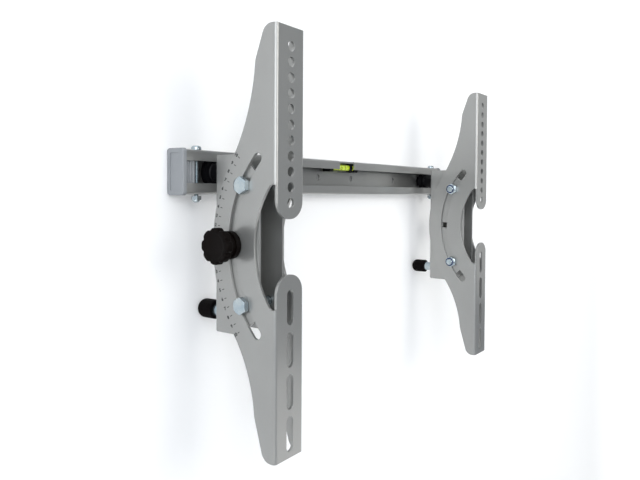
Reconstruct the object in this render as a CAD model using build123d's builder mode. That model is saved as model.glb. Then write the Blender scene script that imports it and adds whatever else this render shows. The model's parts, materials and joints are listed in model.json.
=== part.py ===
from build123d import *
from math import cos, radians, sin
import os

# Tilting wall bracket for a television, in millimetres.
# X runs along the rail, the wall is the plane Y = 0, the screen hangs at -Y, Z is up.
# The origin is the middle of the rail's wall face.

# Wall rail, a lipped steel channel open to the front
rail_length = 608.0
rail_height = 48.2
rail_depth = 25.0
rail_sheet = 2.5
rail_opening = 24.0
rail_inner_bend = 0.5
wall_hole = 8.5
wall_hole_inner_x = 42.0
wall_hole_outer_x = 171.0
level_notch_width = 38.0
level_notch_depth = 8.0

# Moulded end caps
cap_plate = 4.8
cap_proud = 1.0
cap_corner = 3.5
cap_edge = 1.2
cap_panel_margin = 5.0
cap_panel_depth = 0.8
cap_clearance = 0.2
cap_panel_corner = 1.75
plug_length = 16.0
plug_wall = 2.0
plug_ridges = 4
plug_ridge_pitch = 3.9
plug_ridge_height = 1.6
plug_bore_corner = 1.0

# Safety screws that stop the carriages at the rail's ends
stop_to_plug = 1.7
stop_back = 4.3
stop_diameter = 5.0
stop_clearance = 0.3
stop_head = 11.0
stop_head_height = 4.4
stop_head_round = 2.6
stop_nut_flats = 9.5
stop_nut_height = 4.2
stop_nut_gap = 1.8
stop_dome = 8.0
stop_dome_height = 2.6
stop_dome_round = 2.3
stop_point = 0.5

# Spirit level in the rail
vial_diameter = 11.8
vial_length = 60.0
vial_bore = 7.8
vial_wall_end = 3.0
bubble_length = 14.0
bubble_height = 2.6
bubble_width = 3.0
bubble_ceiling = 0.2
liquid_clearance = 0.05
holder_length = 9.5
holder_wall = 0.5
holder_grip = 3.5
holder_seat = 0.1
holder_corner = 1.5

# Carriages, one on each side of the rail's middle
left_carriage_to_stop = 5.8
right_carriage_to_stop = 9.5
carriage_width = 38.7
carriage_sheet = 2.5
carriage_height = 189.0
carriage_gap = 16.5
carriage_inner_bend = 0.5
carriage_corner = 4.0
cheek_depth = 63.2
cheek_cut = 24.0

# Tilt geometry: every arc of an arm runs about one axis in front of the flange
axis_drop = 76.3
axis_reach = 159.9
slot_radius = 131.5
slot_clearance = 0.5
slot_half_angle = 42.6
tilt_bolt_angle = 28.1
arm_back_gap = 0.3
back_half_angle = 36.8
window_radius = 101.0
window_half_height = 62.5
window_corner = 5.0

# Arms, folded channels that carry the screen
arm_sheet = 3.0
arm_play = 0.4
arm_inner_fold = 0.8
arm_front = 72.4
arm_top = 222.6
arm_bottom = 217.4
neck_depth = 27.6
upper_shoulder = 188.0
lower_shoulder = 174.0
neck_sag = 5.5
shoulder_round = 26.0
tip_depth = 14.8
tip_round = 12.0
tab_inset = 2.2
tab_flat = 2.0
upper_tab_margin = 16.4
lower_tab_margin = 15.2
tv_hole = 10.5
tv_hole_pitch = 15.87
tv_hole_count = 11
tv_hole_top = 19.7
tv_slot_width = 10.5
tv_slot_length = 36.5
tv_slot_bridge = 6.9
tv_slot_count = 4
tv_slot_bottom = 6.7
tv_hole_shift = 1.0

# Fasteners
m10 = 10.0
m10_flats = 16.0
m10_head = 6.4
m10_nut = 8.0
lock_nut = 10.0
lock_collar = 14.7
lock_collar_height = 3.2
lock_collar_round = 1.2
m8 = 8.0
m8_dome = 17.0
m8_dome_height = 4.2
m8_dome_round = 3.4
m8_neck_proud = 0.3
neck_clearance = 0.15
m8_washer = 24.0
m8_washer_sheet = 1.6
m6 = 6.0
m6_flats = 10.0
m6_head = 4.0
bolt_clearance = 0.25
nut_clearance = 0.1
running_gap = 0.15
thread_end = 3.0
thread_chamfer = 1.0

# Sliding mount of a carriage in the rail
slide_flange = 34.0
slide_flange_sheet = 6.0
slide_edge = 1.0
slide_clearance = 0.3
slide_thread_end = 2.0
slide_spacer_diameter = 22.0
bumper_spacer_diameter = 14.5
spacer_edge = 0.4

# Rubber bumper that keeps the foot of the carriage off the wall
bumper_diameter = 21.4
bumper_round = 7.5
bumper_edge = 1.0
bumper_wall_gap = 0.4
bumper_thread = 11.0

# Clamping knob
knob_diameter = 37.6
knob_head = 9.0
knob_lobes = 8
knob_notch = 4.2
knob_notch_depth = 1.7
knob_neck = 25.5
knob_neck_length = 9.4
knob_base = 29.5
knob_base_length = 6.0
knob_edge = 1.6
knob_base_edge = 0.6
knob_thread = 17.0

os.makedirs("parts", exist_ok=True)

rail_end = rail_length / 2
rail_top = rail_height / 2
rail_bend = rail_sheet + rail_inner_bend
lip_back = -(rail_depth - rail_sheet)
stop_x = rail_end - plug_length - stop_to_plug - stop_diameter / 2
stop_y = lip_back + stop_back
disc_stop_x = stop_x - (stop_diameter + slide_flange) / 2
left_carriage_x = left_carriage_to_stop - disc_stop_x
right_carriage_x = disc_stop_x - right_carriage_to_stop
carriage_bend = carriage_sheet + carriage_inner_bend
carriage_back = -(rail_depth + carriage_gap)
carriage_inside = carriage_back - carriage_sheet
axis_y = carriage_back - axis_reach
axis_z = -axis_drop
bumper_z = -2 * axis_drop
flange_y = axis_y + arm_front
flange_back = flange_y + arm_sheet
arm_height = arm_top + arm_bottom
arm_fold = arm_sheet + arm_inner_fold
back_radius = axis_reach - arm_back_gap
tv_slot_pitch = tv_slot_length + tv_slot_bridge
lowest_hole = arm_top - tv_hole_top - (tv_hole_count - 1) * tv_hole_pitch
highest_slot = arm_bottom - tv_slot_bottom - tv_slot_count * tv_slot_pitch + tv_slot_bridge
upper_tab_end = lowest_hole - upper_tab_margin
lower_tab_end = highest_slot - lower_tab_margin
cheek_side = carriage_width / 2
arm_side = cheek_side + arm_play + arm_sheet
arm_width = 2 * arm_side
slot_width = m10 + 2 * slot_clearance
square_neck = m8 + m8_neck_proud
square_hole = square_neck + 2 * neck_clearance
slide_hub = rail_opening - 2 * slide_clearance
slide_front = lip_back + slide_clearance - rail_sheet
slide_back = lip_back + slide_clearance + slide_flange_sheet
knob_length = knob_head + knob_neck_length + knob_base_length

# Sketches on this plane read (towards the wall, up) from the tilt axis.
tilt_plane = Plane(origin=(0, axis_y, axis_z), x_dir=(0, 1, 0), z_dir=(1, 0, 0))


def on_arc(radius, angle):
    return (radius * cos(radians(angle)), radius * sin(radians(angle)))


def save_pair(piece, name):
    """Write the left piece, built about x = 0 with its outer side at -X, and its mirror image."""
    right = mirror(piece.part, about=Plane.YZ)
    for side, x, solid in (("left", left_carriage_x, piece.part), ("right", right_carriage_x, right)):
        placed = Pos(x, 0, 0) * solid
        placed.label = f"{name}_{side}"
        export_step(placed, f"parts/{name}_{side}.step")


# Wall rail
with BuildPart() as wall_rail:
    with BuildSketch(Plane.YZ):
        with Locations((-rail_depth / 2, 0)):
            Rectangle(rail_depth, rail_height)
        fillet(vertices(), radius=rail_bend)
        with Locations((-rail_depth / 2, 0)):
            RectangleRounded(rail_depth - 2 * rail_sheet, rail_height - 2 * rail_sheet,
                             rail_inner_bend, mode=Mode.SUBTRACT)
        with Locations((-rail_depth, 0)):
            Rectangle(2 * (rail_depth - rail_bend), rail_opening, mode=Mode.SUBTRACT)
    extrude(amount=rail_end, both=True)
    with BuildSketch(Plane.XZ):
        for x in (wall_hole_inner_x, wall_hole_outer_x):
            with Locations((-x, 0), (x, 0)):
                Circle(wall_hole / 2)
    extrude(amount=rail_sheet, mode=Mode.SUBTRACT)
    with BuildSketch(Plane.XY.offset(-rail_top)):
        with Locations((-stop_x, stop_y), (stop_x, stop_y)):
            Circle(stop_diameter / 2 + stop_clearance)
    extrude(amount=rail_height, mode=Mode.SUBTRACT)
    with BuildSketch(Plane.XY.offset(rail_opening / 2)):
        with Locations((0, level_notch_depth / 2 - rail_depth)):
            Rectangle(level_notch_width, level_notch_depth)
    extrude(amount=rail_top, mode=Mode.SUBTRACT)
wall_rail.part.label = "wall_rail"
export_step(wall_rail.part, "parts/wall_rail.step")

# End caps: a dished plate outside, a hollow ridged plug in the rail
plug_height = rail_height - 2 * (rail_sheet + cap_clearance)
plug_back = -(rail_sheet + cap_clearance)
plug_front = lip_back + slide_clearance + plug_ridge_height
plug_depth = plug_back - plug_front
cap_height = rail_height + 2 * cap_proud
cap_depth = rail_depth + cap_proud
with BuildPart() as cap:
    with BuildSketch(Plane.YZ.offset(-rail_end)):
        with Locations((-cap_depth / 2, 0)):
            RectangleRounded(cap_depth, cap_height, cap_corner)
    extrude(amount=-cap_plate)
    fillet(cap.faces().sort_by(Axis.X)[0].edges(), radius=cap_edge)
    with BuildSketch(Plane.YZ.offset(-rail_end - cap_plate)):
        with Locations((-cap_depth / 2, 0)):
            RectangleRounded(cap_depth - 2 * cap_panel_margin, cap_height - 2 * cap_panel_margin,
                             cap_panel_corner)
    extrude(amount=cap_panel_depth, mode=Mode.SUBTRACT)
    with BuildSketch(Plane.XY.offset(-plug_height / 2)):
        with Locations((plug_length / 2 - rail_end, (plug_front + plug_back) / 2)):
            Rectangle(plug_length, plug_depth)
        for ridge in range(plug_ridges):
            with Locations((plug_ridge_pitch * (ridge + 0.5) - rail_end, plug_front)):
                Ellipse(plug_ridge_pitch / 2, plug_ridge_height)
    extrude(amount=plug_height)
    with BuildSketch(Plane.YZ.offset(plug_length - rail_end)):
        with Locations(((plug_front + plug_back) / 2, 0)):
            RectangleRounded(plug_depth - 2 * plug_wall, plug_height - 2 * plug_wall,
                             plug_bore_corner)
    extrude(amount=-(plug_length - plug_wall), mode=Mode.SUBTRACT)
cap.part.label = "end_cap_left"
export_step(cap.part, "parts/end_cap_left.step")
right_cap = mirror(cap.part, about=Plane.YZ)
right_cap.label = "end_cap_right"
export_step(right_cap, "parts/end_cap_right.step")

# Safety screws, heads up, and the dome nuts below the rail
stop_nut_top = -rail_top - stop_nut_gap
stop_nut_foot = stop_nut_top - stop_nut_height
with BuildPart() as safety_screws:
    for x in (-stop_x, stop_x):
        with BuildSketch(Plane.XY.offset(stop_nut_foot)):
            with Locations((x, stop_y)):
                Circle(stop_diameter / 2)
        extrude(amount=rail_top - stop_nut_foot)
        with BuildSketch(Plane.XY.offset(rail_top)):
            with Locations((x, stop_y)):
                Circle(stop_head / 2)
        extrude(amount=stop_head_height)
    fillet(safety_screws.edges().filter_by(GeomType.CIRCLE).group_by(Axis.Z)[-1],
           radius=stop_head_round)
    chamfer(safety_screws.edges().filter_by(GeomType.CIRCLE).group_by(Axis.Z)[0],
            length=stop_point)
safety_screws.part.label = "safety_screws"
export_step(safety_screws.part, "parts/safety_screws.step")

with BuildPart() as safety_nuts:
    for x in (-stop_x, stop_x):
        with BuildSketch(Plane.XY.offset(stop_nut_foot)):
            with Locations((x, stop_y)):
                RegularPolygon(stop_nut_flats / 2, 6, major_radius=False)
        extrude(amount=stop_nut_height)
        with BuildSketch(Plane.XY.offset(stop_nut_foot - stop_dome_height)):
            with Locations((x, stop_y)):
                Circle(stop_dome / 2)
        extrude(amount=stop_dome_height)
    fillet(safety_nuts.edges().filter_by(GeomType.CIRCLE).group_by(Axis.Z)[0],
           radius=stop_dome_round)
    with BuildSketch(Plane.XY.offset(stop_nut_foot - nut_clearance)):
        with Locations((-stop_x, stop_y), (stop_x, stop_y)):
            Circle(stop_diameter / 2 + nut_clearance)
    extrude(amount=stop_nut_height + nut_clearance, mode=Mode.SUBTRACT)
safety_nuts.part.label = "safety_nuts"
export_step(safety_nuts.part, "parts/safety_nuts.step")

# Spirit level: a clear tube, its liquid with the bubble cut out, and two moulded holders
holder_size = vial_diameter + 2 * holder_wall
vial_z = rail_top - rail_sheet - holder_seat - holder_size / 2
vial_y = -rail_depth / 2
vial_plane = Plane(origin=(0, vial_y, vial_z), x_dir=(0, 1, 0), z_dir=(1, 0, 0))
liquid_length = vial_length - 2 * vial_wall_end
with BuildPart() as level_vial:
    with BuildSketch(vial_plane):
        Circle(vial_diameter / 2)
    extrude(amount=vial_length / 2, both=True)
    with BuildSketch(vial_plane):
        Circle(vial_bore / 2)
    extrude(amount=liquid_length / 2, both=True, mode=Mode.SUBTRACT)
level_vial.part.label = "level_vial"
export_step(level_vial.part, "parts/level_vial.step")

with BuildPart() as level_liquid:
    with BuildSketch(vial_plane):
        Circle(vial_bore / 2 - liquid_clearance)
    extrude(amount=liquid_length / 2 - liquid_clearance, both=True)
    with BuildSketch(Plane.XZ.offset(-vial_y)):
        with Locations((0, vial_z + vial_bore / 2 - bubble_ceiling - bubble_height / 2)):
            SlotOverall(bubble_length, bubble_height)
    extrude(amount=bubble_width / 2, both=True, mode=Mode.SUBTRACT)
level_liquid.part.label = "level_liquid"
export_step(level_liquid.part, "parts/level_liquid.step")

holder_x = vial_length / 2 - holder_grip + holder_length / 2
with BuildPart() as level_holders:
    with Locations((-holder_x, vial_y, vial_z), (holder_x, vial_y, vial_z)):
        Box(holder_length, holder_size, holder_size)
    fillet(level_holders.edges().filter_by(Axis.X), radius=holder_corner)
    with BuildSketch(vial_plane):
        Circle(vial_diameter / 2 + liquid_clearance)
    extrude(amount=vial_length / 2 + liquid_clearance, both=True, mode=Mode.SUBTRACT)
level_holders.part.label = "level_holders"
export_step(level_holders.part, "parts/level_holders.step")

# Carriage: a channel of two cheeks and a web
cheek_front = axis_reach - cheek_depth
with BuildPart() as carriage:
    with BuildSketch(tilt_plane):
        with Locations((cheek_front + cheek_depth / 2, 0)):
            Rectangle(cheek_depth, carriage_height)
        chamfer(vertices().group_by(Axis.X)[0], length=cheek_cut)
    extrude(amount=cheek_side, both=True)
    web_folds = carriage.edges().filter_by(Axis.Z).group_by(Axis.Y)[-1]
    fillet(web_folds, radius=carriage_bend)
    with BuildSketch(Plane.XY.offset(axis_z - carriage_height)):
        with Locations((0, carriage_inside - cheek_depth / 2)):
            RectangleRounded(carriage_width - 2 * carriage_sheet, cheek_depth, carriage_inner_bend)
    extrude(amount=2 * carriage_height, mode=Mode.SUBTRACT)
    with BuildSketch(tilt_plane):
        with Locations((cheek_front, 0)):
            RectangleRounded(2 * cheek_depth, carriage_height, carriage_corner)
    extrude(amount=carriage_width, both=True, mode=Mode.INTERSECT)
    with BuildSketch(tilt_plane):
        with Locations(on_arc(slot_radius, tilt_bolt_angle), on_arc(slot_radius, -tilt_bolt_angle)):
            Circle(m10 / 2 + bolt_clearance)
        with Locations((slot_radius, 0)):
            Rectangle(square_hole, square_hole)
    extrude(amount=carriage_width, both=True, mode=Mode.SUBTRACT)
    with BuildSketch(Plane.XZ.offset(-carriage_back)):
        Circle(m10 / 2 + bolt_clearance)
        with Locations((0, bumper_z)):
            Circle(m6 / 2 + bolt_clearance)
    extrude(amount=2 * carriage_sheet, both=True, mode=Mode.SUBTRACT)
save_pair(carriage, "carriage")

# Slide disc: a hub between the rail's lips and a flange behind them
with BuildPart() as slide_disc:
    with BuildSketch(Plane.XZ.offset(-slide_back)):
        Circle(slide_flange / 2)
    extrude(amount=slide_flange_sheet)
    with BuildSketch(Plane.XZ.offset(-lip_back - slide_clearance)):
        Circle(slide_hub / 2)
    extrude(amount=lip_back + slide_clearance - slide_front)
    chamfer(slide_disc.edges().filter_by(GeomType.CIRCLE).group_by(Axis.Y)[0], length=slide_edge)
    with BuildSketch(Plane.XZ.offset(-slide_back)):
        Circle(m10 / 2 + bolt_clearance)
    extrude(amount=slide_back - slide_front, mode=Mode.SUBTRACT)
save_pair(slide_disc, "slide_disc")

# Tube spacers between the web and the slide disc, and between the web and the bumper
spacer_length = slide_front - carriage_back
for name, height, diameter, bore in (("slide_spacer", 0, slide_spacer_diameter, m10),
                                     ("bumper_spacer", bumper_z, bumper_spacer_diameter, m6)):
    with BuildPart() as spacer:
        with BuildSketch(Plane.XZ.offset(-slide_front)):
            with Locations((0, height)):
                Circle(diameter / 2)
                Circle(bore / 2 + bolt_clearance, mode=Mode.SUBTRACT)
        extrude(amount=spacer_length)
        chamfer(spacer.edges().filter_by(GeomType.CIRCLE).sort_by(SortBy.LENGTH)[-2:], length=spacer_edge)
    save_pair(spacer, name)

# Slide bolt with its head inside the carriage, and its nut behind the slide disc
with BuildPart() as slide_bolt:
    with BuildSketch(Plane.XZ.offset(-carriage_inside)):
        RegularPolygon(m10_flats / 2, 6, major_radius=False)
    extrude(amount=m10_head)
    tip = slide_back + m10_nut + slide_thread_end
    with BuildSketch(Plane.XZ.offset(-tip)):
        Circle(m10 / 2)
    extrude(amount=tip - carriage_inside)
    chamfer(slide_bolt.edges().filter_by(GeomType.CIRCLE).group_by(Axis.Y)[-1],
            length=thread_chamfer)
save_pair(slide_bolt, "slide_bolt")

with BuildPart() as slide_nut:
    with BuildSketch(Plane.XZ.offset(-slide_back - m10_nut)):
        RegularPolygon(m10_flats / 2, 6, major_radius=False)
        Circle(m10 / 2 + nut_clearance, mode=Mode.SUBTRACT)
    extrude(amount=m10_nut)
save_pair(slide_nut, "slide_nut")

# Bumper: a rubber foot with a rounded end, and the screw that holds it
with BuildPart() as bumper:
    with BuildSketch(Plane.XZ.offset(bumper_wall_gap)):
        with Locations((0, bumper_z)):
            Circle(bumper_diameter / 2)
    extrude(amount=-slide_front - bumper_wall_gap)
    fillet(bumper.edges().filter_by(GeomType.CIRCLE).group_by(Axis.Y)[-1], radius=bumper_round)
    fillet(bumper.edges().filter_by(GeomType.CIRCLE).group_by(Axis.Y)[0], radius=bumper_edge)
    with BuildSketch(Plane.XZ.offset(-slide_front)):
        with Locations((0, bumper_z)):
            Circle(m6 / 2 + nut_clearance)
    extrude(amount=-bumper_thread - nut_clearance, mode=Mode.SUBTRACT)
save_pair(bumper, "bumper")

with BuildPart() as bumper_screw:
    with BuildSketch(Plane.XZ.offset(-carriage_inside)):
        with Locations((0, bumper_z)):
            RegularPolygon(m6_flats / 2, 6, major_radius=False)
    extrude(amount=m6_head)
    with BuildSketch(Plane.XZ.offset(-carriage_inside)):
        with Locations((0, bumper_z)):
            Circle(m6 / 2)
    extrude(amount=-(slide_front + bumper_thread - carriage_inside))
save_pair(bumper_screw, "bumper_screw")

# Arm: a folded channel whose side plates are cut to arcs about the tilt axis
upper_neck = (arm_front + neck_depth, upper_shoulder)
lower_neck = (arm_front + neck_depth, -lower_shoulder)
upper_tip = (arm_front + tip_depth, arm_top)
lower_tip = (arm_front + tip_depth, -arm_bottom)
window_length = 2 * window_half_height
with BuildPart() as arm:
    with BuildSketch(tilt_plane):
        with BuildLine():
            back_arc = CenterArc((0, 0), back_radius, -back_half_angle, 2 * back_half_angle)
            SagittaArc(back_arc @ 1, upper_neck, neck_sag)
            Polyline(upper_neck, upper_tip, (arm_front, arm_top), (arm_front, -arm_bottom),
                     lower_tip, lower_neck)
            SagittaArc(lower_neck, back_arc @ 0, neck_sag)
        make_face()
        corners = vertices()
        fillet([corners.sort_by_distance(upper_neck)[0], corners.sort_by_distance(lower_neck)[0]],
               radius=shoulder_round)
        corners = vertices()
        fillet([corners.sort_by_distance(upper_tip)[0], corners.sort_by_distance(lower_tip)[0]],
               radius=tip_round)
    extrude(amount=arm_side, both=True)
    fillet(arm.edges().filter_by(Axis.Z).group_by(Axis.Y)[0], radius=arm_fold)
    with BuildSketch(Plane.XY.offset(axis_z - arm_height)):
        with Locations((0, flange_back + back_radius / 2)):
            RectangleRounded(arm_width - 2 * arm_sheet, back_radius, arm_inner_fold)
    extrude(amount=2 * arm_height, mode=Mode.SUBTRACT)
    with BuildSketch(tilt_plane):
        slot_end = slot_width / 2
        with BuildLine():
            for radius in (slot_radius - slot_end, slot_radius + slot_end):
                CenterArc((0, 0), radius, -slot_half_angle, 2 * slot_half_angle)
            for angle, turn in ((slot_half_angle, 180), (-slot_half_angle, -180)):
                CenterArc(on_arc(slot_radius, angle), slot_end, angle, turn)
        make_face()
    extrude(amount=arm_width, both=True, mode=Mode.SUBTRACT)
    with BuildSketch(tilt_plane):
        Circle(window_radius)
        with Locations((arm_front + arm_sheet + window_radius / 2, 0)):
            Rectangle(window_radius, window_length, mode=Mode.INTERSECT)
        window_corners = vertices().filter_by(lambda corner: abs(corner.Y) > window_corner)
        fillet(window_corners.group_by(Axis.X)[-1], radius=window_corner)
    extrude(amount=arm_width, both=True, mode=Mode.SUBTRACT)
    with BuildSketch(Plane.XZ.offset(-flange_back)):
        tab_width = arm_width - 2 * tab_inset
        tab_round = (tab_width - tab_flat) / 2
        with Locations((0, axis_z)):
            Rectangle(2 * arm_width, window_length)
        with Locations((0, axis_z + upper_tab_end + window_half_height)):
            RectangleRounded(tab_width, 2 * window_half_height, tab_round, mode=Mode.SUBTRACT)
        with Locations((0, axis_z - lower_tab_end - window_half_height)):
            RectangleRounded(tab_width, 2 * window_half_height, tab_round, mode=Mode.SUBTRACT)
    extrude(amount=arm_sheet, mode=Mode.SUBTRACT)
    with BuildSketch(Plane.XZ.offset(-flange_back)):
        for number in range(tv_hole_count):
            with Locations((tv_hole_shift, axis_z + arm_top - tv_hole_top - number * tv_hole_pitch)):
                Circle(tv_hole / 2)
        for number in range(tv_slot_count):
            foot = axis_z - arm_bottom + tv_slot_bottom + number * tv_slot_pitch
            with Locations((tv_hole_shift, foot + tv_slot_length / 2)):
                SlotOverall(tv_slot_length, tv_slot_width, rotation=90)
    extrude(amount=arm_sheet, mode=Mode.SUBTRACT)
save_pair(arm, "arm")

# Tilt bolts through both side plates and both cheeks, heads on the outer side
bolt_seat = arm_side + running_gap
bolt_places = (on_arc(slot_radius, tilt_bolt_angle), on_arc(slot_radius, -tilt_bolt_angle))
with BuildPart() as tilt_bolts:
    with BuildSketch(tilt_plane.offset(-bolt_seat)):
        with Locations(*bolt_places):
            RegularPolygon(m10_flats / 2, 6, major_radius=False, rotation=30)
    extrude(amount=-m10_head)
    with BuildSketch(tilt_plane.offset(-bolt_seat)):
        with Locations(*bolt_places):
            Circle(m10 / 2)
    extrude(amount=2 * bolt_seat + lock_nut + thread_end)
    chamfer(tilt_bolts.edges().filter_by(GeomType.CIRCLE).group_by(Axis.X)[-1],
            length=thread_chamfer)
save_pair(tilt_bolts, "tilt_bolts")

with BuildPart() as tilt_nuts:
    with BuildSketch(tilt_plane.offset(bolt_seat)):
        with Locations(*bolt_places):
            RegularPolygon(m10_flats / 2, 6, major_radius=False, rotation=30)
    extrude(amount=lock_nut - lock_collar_height)
    with BuildSketch(tilt_plane.offset(bolt_seat)):
        with Locations(*bolt_places):
            Circle(lock_collar / 2)
    extrude(amount=lock_nut)
    fillet(tilt_nuts.edges().filter_by(GeomType.CIRCLE).group_by(Axis.X)[-1],
           radius=lock_collar_round)
    with BuildSketch(tilt_plane.offset(bolt_seat)):
        with Locations(*bolt_places):
            Circle(m10 / 2 + nut_clearance)
    extrude(amount=lock_nut, mode=Mode.SUBTRACT)
save_pair(tilt_nuts, "tilt_nuts")

# Clamp: a carriage bolt held by the square hole, a wide washer and the lobed knob
knob_plane = Plane(origin=(0, axis_y + slot_radius, axis_z), x_dir=(0, 1, 0), z_dir=(1, 0, 0))
cheek_inside = cheek_side - carriage_sheet
knob_seat = bolt_seat + m8_washer_sheet + running_gap
with BuildPart() as knob_bolt:
    with BuildSketch(knob_plane.offset(-cheek_inside)):
        Circle(m8_dome / 2)
    extrude(amount=m8_dome_height)
    fillet(knob_bolt.edges().filter_by(GeomType.CIRCLE).group_by(Axis.X)[-1], radius=m8_dome_round)
    with BuildSketch(knob_plane.offset(-cheek_inside)):
        Rectangle(square_neck, square_neck)
    extrude(amount=-carriage_sheet)
    with BuildSketch(knob_plane.offset(-cheek_inside)):
        Circle(m8 / 2)
    extrude(amount=-(knob_seat + knob_thread - cheek_inside))
save_pair(knob_bolt, "knob_bolt")

with BuildPart() as knob_washer:
    with BuildSketch(knob_plane.offset(-bolt_seat)):
        Circle(m8_washer / 2)
        Circle(m8 / 2 + nut_clearance, mode=Mode.SUBTRACT)
    extrude(amount=-m8_washer_sheet)
save_pair(knob_washer, "knob_washer")

with BuildPart() as knob:
    with BuildSketch(knob_plane.offset(-knob_seat - knob_length)):
        Circle(knob_diameter / 2)
        notch_place = knob_diameter / 2 - knob_notch_depth + knob_notch
        with PolarLocations(notch_place, knob_lobes):
            Circle(knob_notch, mode=Mode.SUBTRACT)
    extrude(amount=knob_head)
    fillet(knob.faces().sort_by(Axis.X)[0].edges(), radius=knob_edge)
    with BuildSketch(knob_plane.offset(-knob_seat - knob_length + knob_head)):
        Circle(knob_neck / 2)
    extrude(amount=knob_neck_length)
    with BuildSketch(knob_plane.offset(-knob_seat)):
        Circle(knob_base / 2)
    extrude(amount=-knob_base_length)
    chamfer(knob.edges().filter_by(GeomType.CIRCLE).group_by(Axis.X)[-1], length=knob_base_edge)
    with BuildSketch(knob_plane.offset(-knob_seat)):
        Circle(m8 / 2 + nut_clearance)
    extrude(amount=-knob_thread - nut_clearance, mode=Mode.SUBTRACT)
save_pair(knob, "knob")
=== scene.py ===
import json
import math

import bpy
import numpy as np
from mathutils import Matrix, Vector


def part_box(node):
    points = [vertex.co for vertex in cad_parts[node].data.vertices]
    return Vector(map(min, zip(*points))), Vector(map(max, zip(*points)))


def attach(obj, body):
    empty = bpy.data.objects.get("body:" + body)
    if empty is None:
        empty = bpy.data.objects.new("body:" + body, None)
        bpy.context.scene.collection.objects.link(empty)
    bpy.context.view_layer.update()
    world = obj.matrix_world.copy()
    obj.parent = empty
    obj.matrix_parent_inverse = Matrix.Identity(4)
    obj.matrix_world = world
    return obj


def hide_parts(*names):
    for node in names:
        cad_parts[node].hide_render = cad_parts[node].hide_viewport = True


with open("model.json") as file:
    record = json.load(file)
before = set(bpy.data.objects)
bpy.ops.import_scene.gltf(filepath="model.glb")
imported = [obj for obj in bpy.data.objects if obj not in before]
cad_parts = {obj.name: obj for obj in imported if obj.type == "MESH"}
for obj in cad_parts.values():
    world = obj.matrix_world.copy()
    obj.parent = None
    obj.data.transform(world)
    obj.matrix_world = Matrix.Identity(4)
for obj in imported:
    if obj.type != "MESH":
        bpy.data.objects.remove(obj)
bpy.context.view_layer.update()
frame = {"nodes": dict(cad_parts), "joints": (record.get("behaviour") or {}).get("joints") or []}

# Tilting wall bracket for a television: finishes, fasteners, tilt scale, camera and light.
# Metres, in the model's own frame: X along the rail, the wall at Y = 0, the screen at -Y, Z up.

mm = 0.001
sides = {"left": -1, "right": 1}  # where the outer side plate of each arm points along X
print("frame loaded:", len(frame["nodes"]), "nodes")


# Shader expressions: a wire is one socket, and an expression on wires adds its Math nodes
class Wire:
    def __init__(self, nodes, socket):
        self.nodes, self.socket = nodes, socket

    def maths(self, operation, *values):
        return self.nodes.node("ShaderNodeMath", {"operation": operation}, values)

    def __add__(self, other):
        return self.maths("ADD", self, other)

    def __radd__(self, other):
        return self.maths("ADD", other, self)

    def __sub__(self, other):
        return self.maths("SUBTRACT", self, other)

    def __rsub__(self, other):
        return self.maths("SUBTRACT", other, self)

    def __mul__(self, other):
        return self.maths("MULTIPLY", self, other)

    def __rmul__(self, other):
        return self.maths("MULTIPLY", other, self)

    def __lt__(self, other):
        return self.maths("LESS_THAN", self, other)

    def __gt__(self, other):  # also what number < wire becomes
        return self.maths("GREATER_THAN", self, other)

    def __or__(self, other):  # the larger of two
        return self.maths("MAXIMUM", self, other)

    def __ror__(self, other):
        return self.maths("MAXIMUM", other, self)

    def __abs__(self):
        return self.maths("ABSOLUTE", self)


class Nodes:
    def __init__(self, tree):
        self.tree = tree

    # settings are set first, then the sockets get their values or links, by index or by name
    def node(self, kind, settings=None, inputs=(), output=0):
        made = self.tree.nodes.new(kind)
        for key, value in (settings or {}).items():
            if key == "stops":
                self.fillRamp(made.color_ramp, value)
            else:
                setattr(made, key, value)
        pairs = inputs.items() if isinstance(inputs, dict) else enumerate(inputs)
        for key, value in pairs:
            self.feed(made.inputs[key], value)
        return Wire(self, made.outputs[output])

    # several outputs of one node
    def outputs(self, kind, names, inputs=()):
        made = self.node(kind, None, inputs).socket.node
        return [Wire(self, made.outputs[name]) for name in names]

    def feed(self, socket, value):
        if isinstance(value, Wire):
            self.tree.links.new(value.socket, socket)
        elif value is not None:
            socket.default_value = value

    def fillRamp(self, ramp, stops):
        for element, (place, colour) in zip(ramp.elements, stops):
            element.position, element.color = place, colour

    def ramp(self, value, *stops):
        return self.node("ShaderNodeValToRGB", {"stops": stops}, [value])

    def mix(self, share, first, second):
        return self.node("ShaderNodeMix", {"data_type": "RGBA"}, {0: share, 6: first, 7: second}, output=2)


def rgba(red, green, blue):
    return (red, green, blue, 1.0)


black, white = rgba(0, 0, 0), rgba(1, 1, 1)


class Finish(Nodes):
    def __init__(self, name):
        self.material = bpy.data.materials.new(name)
        self.material.use_nodes = True
        super().__init__(self.material.node_tree)
        self.shader = self.tree.nodes["Principled BSDF"]
        self.surface = self.tree.nodes["Material Output"].inputs["Surface"]

    def place(self):
        return self.node("ShaderNodeTexCoord", output="Object")

    def axes(self):
        return self.outputs("ShaderNodeSeparateXYZ", "XYZ", [self.place()])

    def noise(self, scale, detail=3.0, rough=0.5):
        return self.node("ShaderNodeTexNoise", {}, {"Vector": self.place(), "Scale": scale, "Detail": detail,
                                                    "Roughness": rough})

    # nought up to the first end, one from the second
    def mask(self, value, ends):
        return self.ramp(value, (ends[0], black), (ends[1], white))

    def bump(self, height, strength, distance, edge=None):
        return self.node("ShaderNodeBump", {}, {"Strength": strength, "Distance": distance,
                                                "Height": height, "Normal": edge})

    def roundedEdge(self, radius):
        return self.node("ShaderNodeBevel", {"samples": 4}, {"Radius": radius})

    def shade(self, **values):
        for key, value in values.items():
            self.feed(self.shader.inputs[key.replace("_", " ")], value)
        return self


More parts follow.
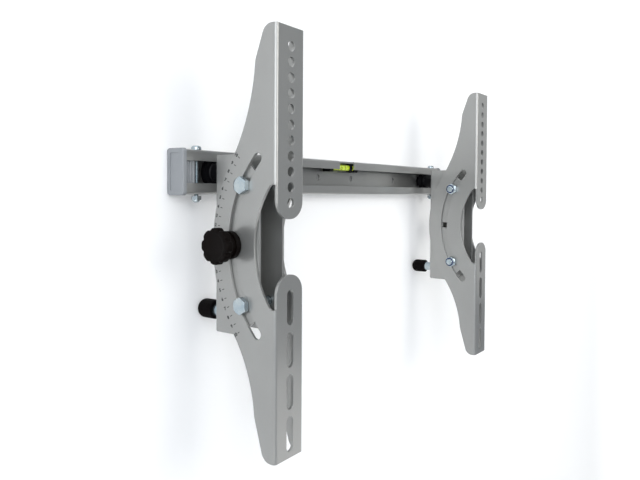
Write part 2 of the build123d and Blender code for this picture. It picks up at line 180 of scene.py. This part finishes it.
# Silver powder coat: fine orange peel, faint cloudiness and small metal flakes
powderSilver = {
    "base": rgba(0.314, 0.314, 0.303), "cloud": rgba(0.291, 0.291, 0.281), "flake": rgba(0.40, 0.40, 0.39),
    "cloudScale": 9.0, "cloudEnds": (0.35, 0.7),
    "flakeScale": 2600.0, "flakeEnds": (0.62, 0.74), "flakes": 0.3,
    "peelScale": 900.0, "peel": 0.010, "peelHeight": 0.4 * mm, "edge": 0.7 * mm,
    "metallic": 0.6, "rough": 0.29, "swing": 0.06, "coat": 0.35, "coatRough": 0.12,
}


def powderCoat(name, look):
    finish = Finish(name)
    peel = finish.noise(look["peelScale"], detail=2.0)
    cloud = finish.noise(look["cloudScale"], detail=4.0)
    flake = finish.noise(look["flakeScale"], detail=1.0)
    body = finish.mix(finish.mask(cloud, look["cloudEnds"]), look["base"], look["cloud"])
    colour = finish.mix(finish.mask(flake, look["flakeEnds"]) * look["flakes"], body, look["flake"])
    rough = look["rough"] + (cloud - 0.5) * look["swing"]
    bump = finish.bump(peel, look["peel"], look["peelHeight"], finish.roundedEdge(look["edge"]))
    return finish.shade(Base_Color=colour, Metallic=look["metallic"], Roughness=rough, Normal=bump,
                        Coat_Weight=look["coat"], Coat_Roughness=look["coatRough"])


# Bright zinc plate with the pale blue cast of its passivation
zincLook = {
    "base": rgba(0.45, 0.50, 0.515), "blue": rgba(0.34, 0.41, 0.455),
    "castScale": 90.0, "castEnds": (0.35, 0.68), "grainScale": 520.0, "grain": 0.02, "grainHeight": 0.1 * mm,
    "metallic": 0.85, "rough": 0.14, "swing": 0.07,
}


def zincPlate(name, look):
    finish = Finish(name)
    cast = finish.noise(look["castScale"])
    grain = finish.noise(look["grainScale"], rough=0.6)
    colour = finish.mix(finish.mask(cast, look["castEnds"]), look["base"], look["blue"])
    rough = look["rough"] + grain * look["swing"]
    bump = finish.bump(grain, look["grain"], look["grainHeight"])
    return finish.shade(Base_Color=colour, Metallic=look["metallic"], Roughness=rough, Normal=bump)


# Moulded plastics and rubber: a cloudy mix of two near colours and a fine grain
mouldedClouds = {"scale": 30.0, "ends": (0.3, 0.75), "swing": 0.15, "grainHeight": 0.4 * mm}
mouldedLook = {
    "cap_grey": {"base": rgba(0.27, 0.28, 0.29), "cloud": rgba(0.25, 0.26, 0.27),
                 "rough": 0.55, "gloss": 0.3, "grainScale": 1400.0, "grain": 0.12},
    "knob_black": {"base": rgba(0.0025, 0.0016, 0.0014), "cloud": rgba(0.004, 0.0025, 0.002),
                   "rough": 0.42, "gloss": 0.05, "grainScale": 900.0, "grain": 0.08},
    "rubber_black": {"base": rgba(0.0020, 0.0014, 0.0014), "cloud": rgba(0.004, 0.003, 0.003),
                     "rough": 0.68, "gloss": 0.04, "grainScale": 600.0, "grain": 0.25},
    "slider_black": {"base": rgba(0.0025, 0.0025, 0.003), "cloud": rgba(0.005, 0.005, 0.006),
                     "rough": 0.45, "gloss": 0.12, "grainScale": 800.0, "grain": 0.12},
    "nylon_blue": {"base": rgba(0.006, 0.018, 0.085), "cloud": rgba(0.008, 0.024, 0.11),
                   "rough": 0.45, "gloss": 0.15, "grainScale": 900.0, "grain": 0.05},
}


def mouldedPlastic(name, look, clouds):
    finish = Finish(name)
    grain = finish.noise(look["grainScale"], rough=0.6)
    cloud = finish.noise(clouds["scale"])
    colour = finish.mix(finish.mask(cloud, clouds["ends"]), look["base"], look["cloud"])
    rough = look["rough"] + (grain - 0.5) * clouds["swing"]
    bump = finish.bump(grain, look["grain"], clouds["grainHeight"])
    return finish.shade(Base_Color=colour, Roughness=rough, Normal=bump, Specular_IOR_Level=look["gloss"])


# Spirit level: a tinted clear tube, and a liquid that shines a little of its own
tubeLook = {"tint": rgba(0.93, 0.98, 0.62), "rippleScale": 160.0, "rough": 0.06, "swing": 0.05, "index": 1.45}
liquidLook = {"deep": rgba(0.55, 0.68, 0.02), "pale": rgba(0.72, 0.84, 0.05), "driftScale": 70.0,
              "rough": 0.2, "glow": 0.25}


def clearTube(name, look):
    finish = Finish(name)
    ripple = finish.noise(look["rippleScale"], detail=2.0)
    return finish.shade(Base_Color=look["tint"], Roughness=look["rough"] + ripple * look["swing"],
                        IOR=look["index"], Transmission_Weight=1.0)


def levelLiquid(name, look):
    finish = Finish(name)
    drift = finish.noise(look["driftScale"], detail=2.0)
    colour = finish.mix(drift, look["deep"], look["pale"])
    return finish.shade(Base_Color=colour, Roughness=look["rough"], Emission_Color=colour,
                        Emission_Strength=look["glow"])


# Ink of the scale and of the level's lines, a little worn
inkLook = {"fresh": rgba(0.018, 0.018, 0.02), "worn": rgba(0.09, 0.09, 0.09), "wearScale": 700.0,
           "wearEnds": (0.45, 0.8), "rough": 0.6, "gloss": 0.1}


def blackInk(name, look):
    finish = Finish(name)
    wear = finish.mask(finish.noise(look["wearScale"], detail=2.0), look["wearEnds"])
    colour = finish.mix(wear, look["fresh"], look["worn"])
    return finish.shade(Base_Color=colour, Roughness=look["rough"], Specular_IOR_Level=look["gloss"])


steelPaint = powderCoat("steel_paint", powderSilver)
zinc = zincPlate("zinc_plate", zincLook)
moulded = {name: mouldedPlastic(name, look, mouldedClouds) for name, look in mouldedLook.items()}
clearVial = clearTube("vial_clear", tubeLook)
liquidGreen = levelLiquid("liquid_green", liquidLook)
ink = blackInk("scale_ink", inkLook)

nodeFinish = {
    "wall_rail": steelPaint, "carriage": steelPaint, "arm": steelPaint, "end_cap": moulded["cap_grey"],
    "safety_screws": zinc, "safety_nuts": zinc, "level_vial": clearVial, "level_liquid": liquidGreen,
    "level_holders": moulded["slider_black"], "slide_disc": moulded["slider_black"], "slide_bolt": zinc,
    "slide_nut": moulded["slider_black"], "slide_spacer": moulded["slider_black"], "bumper_spacer": zinc,
    "bumper": moulded["rubber_black"], "bumper_screw": zinc, "tilt_bolts": zinc, "tilt_nuts": zinc,
    "knob_bolt": zinc, "knob_washer": zinc, "knob": moulded["knob_black"],
}
for nodeName, item in frame["nodes"].items():
    plainName = nodeName.removesuffix("_left").removesuffix("_right")
    item.data.materials.clear()
    item.data.materials.append(nodeFinish[plainName].material)
print("finishes given to every node")

sharpEdge = math.radians(32)


# A piece from points (n, 3) and faces, smooth but for the edges that bend by more than sharpEdge
def makePiece(name, points, faces, finish, body, replaced=()):
    mesh = bpy.data.meshes.new(name)
    mesh.from_pydata(points.tolist(), [], faces)
    mesh.validate()
    mesh.polygons.foreach_set("use_smooth", np.ones(len(mesh.polygons), dtype=bool))
    mesh.set_sharp_from_angle(angle=sharpEdge)
    mesh.materials.append(finish.material)
    piece = bpy.data.objects.new(name, mesh)
    bpy.context.scene.collection.objects.link(piece)
    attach(piece, body)
    if replaced:
        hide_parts(*replaced)


# Rings as arrays of radii and heights, from pairs (radius, height). Each is one number, a row with a value
# for every angle, a column with a value for every ring of an arc, or a block of such rows.
def stackRings(around, pairs):
    flat = np.zeros((1, around))
    rings = [np.broadcast_arrays(radius + flat, height + flat) for radius, height in pairs]
    return [np.vstack(part) for part in zip(*rings)]


# The two parts of a quarter circle, one less the cosine and one less the sine of its angles, as columns
def quarter(degrees):
    angle = np.radians(degrees)[:, None]
    return 1 - np.cos(angle), 1 - np.sin(angle)


# Rings about an axis, the same at every seat: point (k, j) = seat + height (k, j) * axis
# + radius (k, j) * (cos a(j) * across + sin a(j) * up). Neighbouring rings are joined by quads.
# A loop joins the last ring to the first, otherwise fans about the middles of the end rings close it.
def ringSurface(rings, seats, axis, loop=False):
    radii, heights = rings
    count, around = radii.shape
    turn = np.arange(around) * 2 * math.pi / around
    axis = np.array(axis, dtype=float)
    across = np.array([0, 1, 0]) if abs(axis[1]) < 0.5 else np.array([1, 0, 0])
    up = np.cross(axis, across)
    spoke = np.cos(turn)[:, None] * across + np.sin(turn)[:, None] * up
    seats = np.array(seats, dtype=float)
    points = seats[:, None, None] + heights[..., None] * axis + radii[..., None] * spoke
    points = points.reshape(len(seats), -1, 3)
    row = np.arange(count if loop else count - 1)[:, None] * around
    column = np.arange(around)
    nextRow, nextColumn = (row + around) % (count * around), (column + 1) % around
    quads = np.stack([row + column, row + nextColumn, nextRow + nextColumn, nextRow + column], axis=-1)
    quads, fans = quads.reshape(-1, 4), np.zeros((0, 3), dtype=int)
    if not loop:
        size = count * around
        last = size - around
        fans = np.concatenate([
            np.stack([np.full(around, size), nextColumn, column], axis=-1),
            np.stack([np.full(around, size + 1), last + column, last + nextColumn], axis=-1)])
        ends = [points[:, :around].mean(1), points[:, last:].mean(1)]
        points = np.concatenate([points, np.stack(ends, axis=1)], axis=1)
    corners = points[0][quads] - seats[0]
    span = np.cross(corners[:, 2] - corners[:, 0], corners[:, 3] - corners[:, 1])
    if (span * corners.mean(1)).sum() < 0:  # the faces point inwards
        quads, fans = quads[:, ::-1], fans[:, ::-1]
    faces = []
    for start in range(0, len(seats) * points.shape[1], points.shape[1]):
        faces += (quads + start).tolist() + (fans + start).tolist()
    return points.reshape(-1, 3), faces


# Distance from a hexagon's middle to its side: half the flats over the cosine of the angle from the flat
def hexRadius(flats, around):
    turn = np.arange(around) * 2 * math.pi / around
    return flats / 2 / np.cos((turn + math.pi / 6) % (math.pi / 3) - math.pi / 6)


# The chamfer of a hexagon falls from its crown circle by the tangent of 30 degrees
def chamferFall(side, crown):
    return (side - crown) * math.tan(math.pi / 6)


boltLook = {
    "around": 48, "flats": 16 * mm, "head": 6.4 * mm, "crown": 7.5 * mm, "crownRings": (0.6, 0.97),
    "crownEdge": 0.1 * mm, "foot": 0.35 * mm, "footRadius": 1.02, "shank": 5 * mm, "plain": 0.2 * mm,
    "pitch": 1.5 * mm, "depth": 0.75 * mm, "thread": 20 * mm, "fade": 1.5, "tip": 1.0 * mm, "steps": 8,
}


# Shank with a thread cut near its end: the depth follows a triangle wave of (height / pitch - angle / full
# turn) and fades in and out over some pitches, and the tip is chamfered
def threadRings(look, length):
    begin = max(length - look["thread"], look["plain"])
    cuts = np.arange(begin, length, look["pitch"] / look["steps"])[1:]
    heights = np.concatenate([[0.0, begin], cuts, [length]])[:, None]
    turn = np.arange(look["around"]) / look["around"]
    wave = 1 - np.abs(2 * ((heights / look["pitch"] - turn) % 1) - 1)
    fade = np.clip(np.minimum(heights - begin, length - heights) / (look["fade"] * look["pitch"]), 0, 1)
    cut = look["shank"] - look["depth"] * wave * fade
    chamfer = look["shank"] - np.clip(heights - (length - look["tip"]), 0, None)
    return np.minimum(cut, chamfer), heights


# Six sided head: a flat top inside the crown circle, the chamfer, the flats, and a thin round foot below
def headRings(look):
    side = hexRadius(look["flats"], look["around"])
    top, crown, foot = -look["head"], look["crown"], look["crown"] * look["footRadius"]
    return [*((crown * share, top) for share in look["crownRings"]),
            (side, chamferFall(side, crown) + top + look["crownEdge"]), (side, -look["foot"]),
            (foot, -look["foot"]), (foot, 0)]


def boltSurface(look, seats, axis, length):
    rings = stackRings(look["around"], [*headRings(look), threadRings(look, length)])
    return ringSurface(rings, seats, axis)


# Middles of the two bolts or nuts of an arm, from the CAD box: corners of the hexagons point up and down
def tiltSeats(node, x):
    low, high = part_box(node)
    corner = boltLook["flats"] / math.sqrt(3)
    y = (low.y + high.y) / 2
    return [(x, y, high.z - corner), (x, y, low.z + corner)]


def makeTiltBolts(side, look):
    outward, node = sides[side], f"tilt_bolts_{side}"
    low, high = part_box(node)
    headTop, tip = (low.x, high.x) if outward < 0 else (high.x, low.x)
    seat = headTop - outward * look["head"]
    points, faces = boltSurface(look, tiltSeats(node, seat), (-outward, 0, 0), abs(tip - seat))
    makePiece(f"tilt_bolts_fine_{side}", points, faces, zinc, f"{side}_carriage", [node])


nutLook = {
    "around": 48, "flats": 16 * mm, "crown": 7.55 * mm, "bore": 5.1 * mm, "height": 10 * mm, "body": 6.8 * mm,
    "collar": 7.35 * mm, "rim": 6.85 * mm, "bend": 0.45 * mm, "bendSteps": (0, 30, 60, 90), "step": 0.1 * mm,
    "ring": 3.0 * mm, "sink": 0.2 * mm, "play": 0.03 * mm, "ringEdge": 0.2 * mm, "ringMouth": 0.3 * mm,
}


# Lock nut: six sided body with chamfers, a turned collar, and a plastic ring set just below the collar's rim
def makeTiltNuts(side, look):
    outward, node, around = sides[side], f"tilt_nuts_{side}", look["around"]
    low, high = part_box(node)
    seats = tiltSeats(node, low.x if outward < 0 else high.x)
    axis = (-outward, 0, 0)
    bore, crown, body, height = look["bore"], look["crown"], look["body"], look["height"]
    hexSide = hexRadius(look["flats"], around)
    fall = chamferFall(hexSide, crown)
    ledge = height - look["ring"]
    lessCos, lessSin = quarter(look["bendSteps"])
    rings = stackRings(around, [
        (bore, 0), (crown, 0), (hexSide, fall), (hexSide, body - fall), (crown, body),
        (look["collar"], body + look["step"]),
        (look["collar"] - look["bend"] * lessCos, height - look["bend"] * lessSin),
        (look["rim"], height - look["step"]), (look["rim"], ledge), (bore, ledge)])
    points, faces = ringSurface(rings, seats, axis, loop=True)
    makePiece(f"tilt_nuts_fine_{side}", points, faces, zinc, f"{side}_carriage", [node])
    outer, bottom, top = look["rim"] - look["play"], ledge + look["play"], height - look["sink"]
    edge, mouth = look["ringEdge"], look["ringMouth"]
    rings = stackRings(around, [(bore, bottom), (outer, bottom), (outer, top - edge), (outer - edge, top),
                                (bore + mouth, top), (bore, top - mouth)])
    points, faces = ringSurface(rings, seats, axis, loop=True)
    makePiece(f"nut_rings_{side}", points, faces, moulded["nylon_blue"], f"{side}_carriage")


slideBoltLook = {**boltLook, "thread": 14 * mm}


# Slide bolt: the same head inside the carriage, its threaded tip behind the slider
def makeSlideBolt(side, look):
    node = f"slide_bolt_{side}"
    low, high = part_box(node)
    seat = ((low.x + high.x) / 2, low.y + look["head"], (low.z + high.z) / 2)
    points, faces = boltSurface(look, [seat], (0, 1, 0), high.y - seat[1])
    makePiece(f"slide_bolt_fine_{side}", points, faces, zinc, f"{side}_carriage", [node])


screwLook = {
    "around": 48, "head": 4.4 * mm, "brim": 5.5 * mm, "brimEdge": 0.2 * mm, "round": 2.6 * mm,
    "roundSteps": (0, 22, 45, 68, 90), "socket": 3.2 * mm, "sink": 2.2 * mm, "shank": 2.5 * mm,
    "plain": 0.2 * mm, "pitch": 0.8 * mm, "depth": 0.4 * mm, "thread": 90 * mm, "fade": 1.5, "tip": 0.5 * mm,
    "steps": 6,
}


# Safety screws: a round head with a hexagon socket, threaded all the way down
def makeSafetyScrews(look):
    low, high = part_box("safety_screws")
    brim, top, edge = look["brim"], -look["head"], look["brimEdge"]
    socket = hexRadius(look["socket"], look["around"])
    lessCos, lessSin = quarter(look["roundSteps"])
    y, z = (low.y + high.y) / 2, high.z - look["head"]
    seats = [(low.x + brim, y, z), (high.x - brim, y, z)]
    rings = stackRings(look["around"], [
        (socket, top + look["sink"]), (socket, top),
        (brim - look["round"] * lessSin, look["round"] * lessCos + top),
        (brim, -edge), (brim - edge, 0), threadRings(look, z - low.z)])
    points, faces = ringSurface(rings, seats, (0, 0, -1))
    makePiece("safety_screws_fine", points, faces, zinc, "rail", ["safety_screws"])


knobLook = {
    "around": 192, "lobes": 8, "radius": 18.8 * mm, "notch": 1.9 * mm, "sharp": 4.0, "head": 9.0 * mm,
    "arcSteps": (0, 18, 36, 54, 72, 90), "rim": 1.9 * mm, "back": 1.2 * mm,
    "dish": 13.5 * mm, "sink": 0.25 * mm, "dishRings": ((0.93, 1.0), (0.98, 0.5), (1.0, 0.0)),
    "neck": 12.75 * mm, "cove": 1.4 * mm, "neckEnd": 18.4 * mm, "base": 14.75 * mm, "baseEdge": 0.7 * mm,
    "bore": 4.15 * mm, "hollow": 17.4 * mm,
}


# Knob: lobed radius = radius - notch * (half minus half the cosine of lobes * angle) to a power,
# and heights count from its face. The dish's rings are shares of its radius and of its depth.
def makeKnob(side, look):
    outward, node, around = sides[side], f"knob_{side}", look["around"]
    low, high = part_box(node)
    face, seat = (low.x, high.x) if outward < 0 else (high.x, low.x)
    length = abs(seat - face)
    turn = np.arange(around) * 2 * math.pi / around
    lobed = look["radius"] - look["notch"] * (0.5 - 0.5 * np.cos(look["lobes"] * turn)) ** look["sharp"]
    lessCos, lessSin = quarter(look["arcSteps"])
    rim, back, cove, edge = look["rim"], look["back"], look["cove"], look["baseEdge"]
    head, neck, neckEnd, base, bore = (look[k] for k in ("head", "neck", "neckEnd", "base", "bore"))
    rings = stackRings(around, [
        *((look["dish"] * radius, look["sink"] * depth) for radius, depth in look["dishRings"]),
        (lobed - rim * lessSin, rim * lessCos), (lobed - back * lessCos, head - back * lessSin),
        (neck + cove * lessSin, head + cove * lessCos), (neck, neckEnd),
        (base - edge * lessSin, neckEnd + edge * lessCos), (base, length), (bore, length),
        (bore, length - look["hollow"])])
    middle = (face, (low.y + high.y) / 2, (low.z + high.z) / 2)
    points, faces = ringSurface(rings, [middle], (-outward, 0, 0))
    makePiece(f"knob_fine_{side}", points, faces, moulded["knob_black"], f"{side}_knob",
              [node])


vialLook = {
    "around": 64, "gap": 4.9 * mm, "width": 0.9 * mm, "lift": 0.01 * mm, "skin": 0.06 * mm,
    "sleeveStart": 15.2 * mm, "sleeveEnd": 22.8 * mm, "sleeve": 0.45 * mm, "sleeveLift": 0.02 * mm,
    "sleeveEdge": 0.15 * mm,
}


# Two dark lines round the spirit level's tube at the ends of the bubble, and the dark sleeve at its right end
def makeVialLines(look):
    low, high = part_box("level_vial")
    middle, radius, around = (low + high) / 2, (high.z - low.z) / 2, look["around"]
    inner, half = radius + look["lift"], look["width"] / 2
    outer = inner + look["skin"]
    rings = stackRings(around, [(inner, -half), (inner, half), (outer, half), (outer, -half)])
    starts = [(middle.x + shift, middle.y, middle.z) for shift in (-look["gap"], look["gap"])]
    points, faces = ringSurface(rings, starts, (1, 0, 0), loop=True)
    makePiece("level_lines", points, faces, ink, "rail")
    inner, outer, edge = radius + look["sleeveLift"], radius + look["sleeve"], look["sleeveEdge"]
    first, last = look["sleeveStart"], look["sleeveEnd"]
    rings = stackRings(around, [(inner, first), (outer - edge, first), (outer, first + edge),
                                (outer, last - edge), (outer - edge, last), (inner, last)])
    points, faces = ringSurface(rings, [middle], (1, 0, 0), loop=True)
    makePiece("level_sleeve", points, faces, moulded["slider_black"], "rail")


for side in sides:
    makeTiltBolts(side, boltLook)
    makeTiltNuts(side, nutLook)
    makeSlideBolt(side, slideBoltLook)
    makeKnob(side, knobLook)
makeSafetyScrews(screwLook)
makeVialLines(vialLook)
print("fasteners, knobs and level lines made")


# Tilt scale: ticks and plain numbers on the outer face of each arm, in arcs about the tilt axis.
# The pitch is in degrees, and a number's height is a share of its font's size.
tiltScale = {
    "tickRadius": 152.1 * mm, "tickLength": 3.0 * mm, "tickWidth": 0.7 * mm, "pitch": 3.66, "highest": 10,
    "numberRadius": 157.0 * mm, "numberHeight": 3.3 * mm, "heightShare": 0.7, "bolder": 0.07,
    "curveSteps": 3, "proud": 0.06 * mm,
}


def tiltAxis(side):
    joint = next(j for j in frame["joints"] if j["name"] == f"{side}_tilt")
    return Vector(joint["pos_m"])


# A number's flat points, the corners of all its faces in a row, and where each face starts in that row
def numberShape(text, look):
    curve = bpy.data.curves.new("number", "FONT")
    curve.body, curve.size = text, look["numberHeight"] / look["heightShare"]
    curve.align_x, curve.align_y = "CENTER", "CENTER"
    curve.resolution_u = look["curveSteps"]
    curve.offset = look["bolder"] * look["numberHeight"]
    holder = bpy.data.objects.new("number", curve)
    bpy.context.scene.collection.objects.link(holder)
    mesh = bpy.data.meshes.new_from_object(holder.evaluated_get(bpy.context.evaluated_depsgraph_get()))
    points = np.zeros(len(mesh.vertices) * 3)
    corners = np.zeros(len(mesh.loops), dtype=int)
    starts = np.zeros(len(mesh.polygons), dtype=int)
    mesh.vertices.foreach_get("co", points)
    mesh.loops.foreach_get("vertex_index", corners)
    mesh.polygons.foreach_get("loop_start", starts)
    bpy.data.objects.remove(holder)
    bpy.data.curves.remove(curve)
    bpy.data.meshes.remove(mesh)
    return points.reshape(-1, 3)[:, :2], corners, starts


# Flat marks on a side plate: (u, v) is (towards the wall, up) from the tilt axis, X is the plate's face.
# A mark at angle a and radius r has its own axes, outward (cos a, sin a) and across (-sin a, cos a).
# On the left arm it is mirrored along its first axis, which makes it read and face outwards there.
def makeScale(side, look):
    axis, outward = tiltAxis(side), sides[side]
    low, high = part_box(f"arm_{side}")
    faceX = (low.x if outward < 0 else high.x) + outward * look["proud"]
    half = np.array([look["tickLength"], look["tickWidth"]]) / 2
    tick = np.array([[-1, -1], [1, -1], [1, 1], [-1, 1]]) * half, np.arange(4), np.array([0])
    points, faces, count = [], [], 0
    for step in range(-look["highest"], look["highest"] + 1):
        angle = math.radians(step * look["pitch"])
        along = np.array([math.cos(angle), math.sin(angle)])
        own = np.array([along, [-along[1], along[0]]])
        number = numberShape(str(abs(step)), look)
        for (flat, corners, starts), radius in ((tick, look["tickRadius"]), (number, look["numberRadius"])):
            place = (flat * [outward, 1]) @ own + radius * along
            y, z = axis.y + place[:, 0], axis.z + place[:, 1]
            points.append(np.column_stack([np.full(len(place), faceX), y, z]))
            faces += [face.tolist() for face in np.split(corners + count, starts[1:])]
            count += len(place)
    makePiece(f"tilt_scale_{side}", np.concatenate(points), faces, ink, f"{side}_arm")


for side in sides:
    makeScale(side, tiltScale)
print("tilt scales made")


# Camera, from the photograph's own viewing angle
cameraLook = {
    "place": (-0.74183, -0.52415, -0.02066), "yaw": 35.09, "pitch": -1.30, "roll": 0.35,
    "focal": 613.2, "centre": (335.0, 205.96), "frameSize": (640, 480), "sensor": 36, "clip": (0.01, 50),
}


# Forward is (cos yaw cos pitch, sin yaw cos pitch, sin pitch). Right is level until the roll turns it.
def makeCamera(look):
    yaw, pitch, roll = (math.radians(look[k]) for k in ("yaw", "pitch", "roll"))
    forward = Vector((math.cos(yaw) * math.cos(pitch), math.sin(yaw) * math.cos(pitch), math.sin(pitch)))
    level = Vector((math.sin(yaw), -math.cos(yaw), 0))
    up = level.cross(forward)
    right = math.cos(roll) * level + math.sin(roll) * up
    top = math.cos(roll) * up - math.sin(roll) * level
    data = bpy.data.cameras.new("camera")
    width, height = look["frameSize"]
    data.sensor_width = look["sensor"]
    data.lens = look["focal"] / width * data.sensor_width
    data.shift_x = (width / 2 - look["centre"][0]) / width
    data.shift_y = (look["centre"][1] - height / 2) / width
    data.clip_start, data.clip_end = look["clip"]
    camera = bpy.data.objects.new("camera", data)
    turn = Matrix((right, top, -forward)).transposed().to_4x4()
    camera.matrix_world = Matrix.Translation(look["place"]) @ turn
    bpy.context.scene.collection.objects.link(camera)
    bpy.context.scene.camera = camera


makeCamera(cameraLook)


# Backdrop: a white wall behind the rail and a pale floor far below, both with a faint glow of their own
stageLook = {
    "wallGap": 0.5 * mm, "halfWidth": 6.0, "top": 4.0, "floor": -2.4,
    "white": 0.86, "cloudScale": 3.0, "swing": 0.01,
    "paintedShade": (0.3, 0.02), "shade": 0.6,  # half sizes of the painted shade on the wall behind the rail, seen through the rail's holes
    "glowColour": rgba(1.0, 0.97, 0.93),
    "glowSpan": (-0.3, 1.2), "glow": (0.08, 0.29),  # the glow rises along X between these two places
    "farSpan": (1.1, 3.0), "farGlow": 0.9,  # and more so far from the middle, where the lamps don't reach
    "close": 4 * mm,  # diffuse rays from nearer than this pass through the wall
}


# Tone = white + (noise - half) * swing, less the painted shade on the wall behind the rail.
# The wall is clear from behind, to shadow rays and to close diffuse rays.
def stageFinish(name, look, seenThrough):
    finish = Finish(name)
    cloud = finish.noise(look["cloudScale"], detail=2.0)
    camera, glossy, through, shadow, diffuse, length = finish.outputs("ShaderNodeLightPath", (
        "Is Camera Ray", "Is Glossy Ray", "Is Transmission Ray", "Is Shadow Ray", "Is Diffuse Ray",
        "Ray Length"))
    x, _, z = finish.axes()
    # painted shade: the wall is made darker behind the rail, where it shows only through the rail's holes
    paintedShade = (abs(x) < look["paintedShade"][0]) * (abs(z) < look["paintedShade"][1])
    tone = look["white"] + (cloud - 0.5) * look["swing"] - paintedShade * look["shade"]
    colour = finish.node("ShaderNodeCombineXYZ", inputs=[tone, tone, tone])
    paint = finish.node("ShaderNodeBsdfDiffuse", inputs=[colour])
    rise = finish.node("ShaderNodeMapRange", inputs=[x, *look["glowSpan"], *look["glow"]])
    far = finish.node("ShaderNodeMapRange", inputs=[abs(x), *look["farSpan"], 0.0, look["farGlow"]])
    power = (camera + glossy + through) * (rise | far) * (1 - paintedShade)
    glow = finish.node("ShaderNodeEmission", inputs=[look["glowColour"], power])
    lit = finish.node("ShaderNodeAddShader", inputs=[paint, glow])
    if seenThrough:
        behind = finish.node("ShaderNodeNewGeometry", output="Backfacing")
        share = behind | shadow | diffuse * (length < look["close"])
        clear = finish.node("ShaderNodeBsdfTransparent")
        lit = finish.node("ShaderNodeMixShader", inputs=[share, lit, clear])
    finish.tree.nodes.remove(finish.shader)
    finish.feed(finish.surface, lit)
    return finish


def makePlane(name, corners, finish):
    mesh = bpy.data.meshes.new(name)
    mesh.from_pydata(corners, [], [(0, 1, 2, 3)])
    mesh.materials.append(finish.material)
    plane = bpy.data.objects.new(name, mesh)
    bpy.context.scene.collection.objects.link(plane)


def makeStage(look):
    w, top, floor, y = look["halfWidth"], look["top"], look["floor"], look["wallGap"]
    wall = stageFinish("wall_white", look, True)
    ground = stageFinish("floor_white", look, False)
    makePlane("wall", [(-w, y, floor), (w, y, floor), (w, y, top), (-w, y, top)], wall)
    makePlane("floor", [(-w, -w, floor), (w, -w, floor), (w, w, floor), (-w, w, floor)], ground)


# The room: pale light that falls off towards its dark side at the front right. Seen directly it is white.
roomLook = {
    "darkSide": (0.77, -0.64, 0.0), "pale": rgba(0.54, 0.595, 0.66), "dark": rgba(0.20, 0.22, 0.25),
    "darkFrom": 0.8,  # share of the way to the dark side where it is darkest
}


# Tone by the dot product of a ray's direction with the dark side
def makeRoom(look):
    world = bpy.data.worlds.new("studio")
    world.use_nodes = True
    room = Nodes(world.node_tree)
    way = room.node("ShaderNodeTexCoord", output="Generated")
    along = room.node("ShaderNodeVectorMath", {"operation": "DOT_PRODUCT"}, [way, look["darkSide"]], "Value")
    tone = room.ramp(along, (0.0, look["pale"]), (look["darkFrom"], look["dark"]))
    seen = room.node("ShaderNodeLightPath", output="Is Camera Ray")
    room.feed(world.node_tree.nodes["Background"].inputs["Color"], room.mix(seen, tone, white))
    bpy.context.scene.world = world


# Lamps: each is a rectangle that points from its place to its target
lampLook = {
    "key": {"place": (-2.0, -1.6, 0.6), "target": (0, -0.1, -0.05), "size": (2.2, 2.0), "power": 46,
            "colour": (0.96, 0.975, 1.0)},
    "top": {"place": (-0.5, -1.0, 2.4), "target": (0, -0.1, 0), "size": (1.6, 1.0), "power": 12,
            "colour": (1, 1, 1)},
    "front": {"place": (0.35, -2.5, 0.55), "target": (0, 0, -0.07), "size": (1.7, 1.3), "power": 27,
              "colour": (1.0, 0.985, 0.94)},
    "side": {"place": (2.8, -1.0, 0.4), "target": (0.9, 0, -0.05), "size": (1.4, 2.2), "power": 5,
             "colour": (1.0, 0.975, 0.92)},
    "back": {"place": (0.3, 1.6, 0.8), "target": (0, 0, -0.1), "size": (1.4, 1.0), "power": 17,
             "colour": (1, 1, 1)},
}


def makeLamp(name, look):
    data = bpy.data.lights.new(name, "AREA")
    data.shape = "RECTANGLE"
    data.size, data.size_y = look["size"]
    data.energy, data.color = look["power"], look["colour"]
    lamp = bpy.data.objects.new(name, data)
    lamp.location = look["place"]
    lamp.rotation_euler = (Vector(look["target"]) - lamp.location).to_track_quat("-Z", "Y").to_euler()
    bpy.context.scene.collection.objects.link(lamp)


makeStage(stageLook)
makeRoom(roomLook)
for lampName, look in lampLook.items():
    makeLamp(lampName, look)
bpy.context.scene.view_settings.view_transform = "Standard"
print("camera, stage and light set")
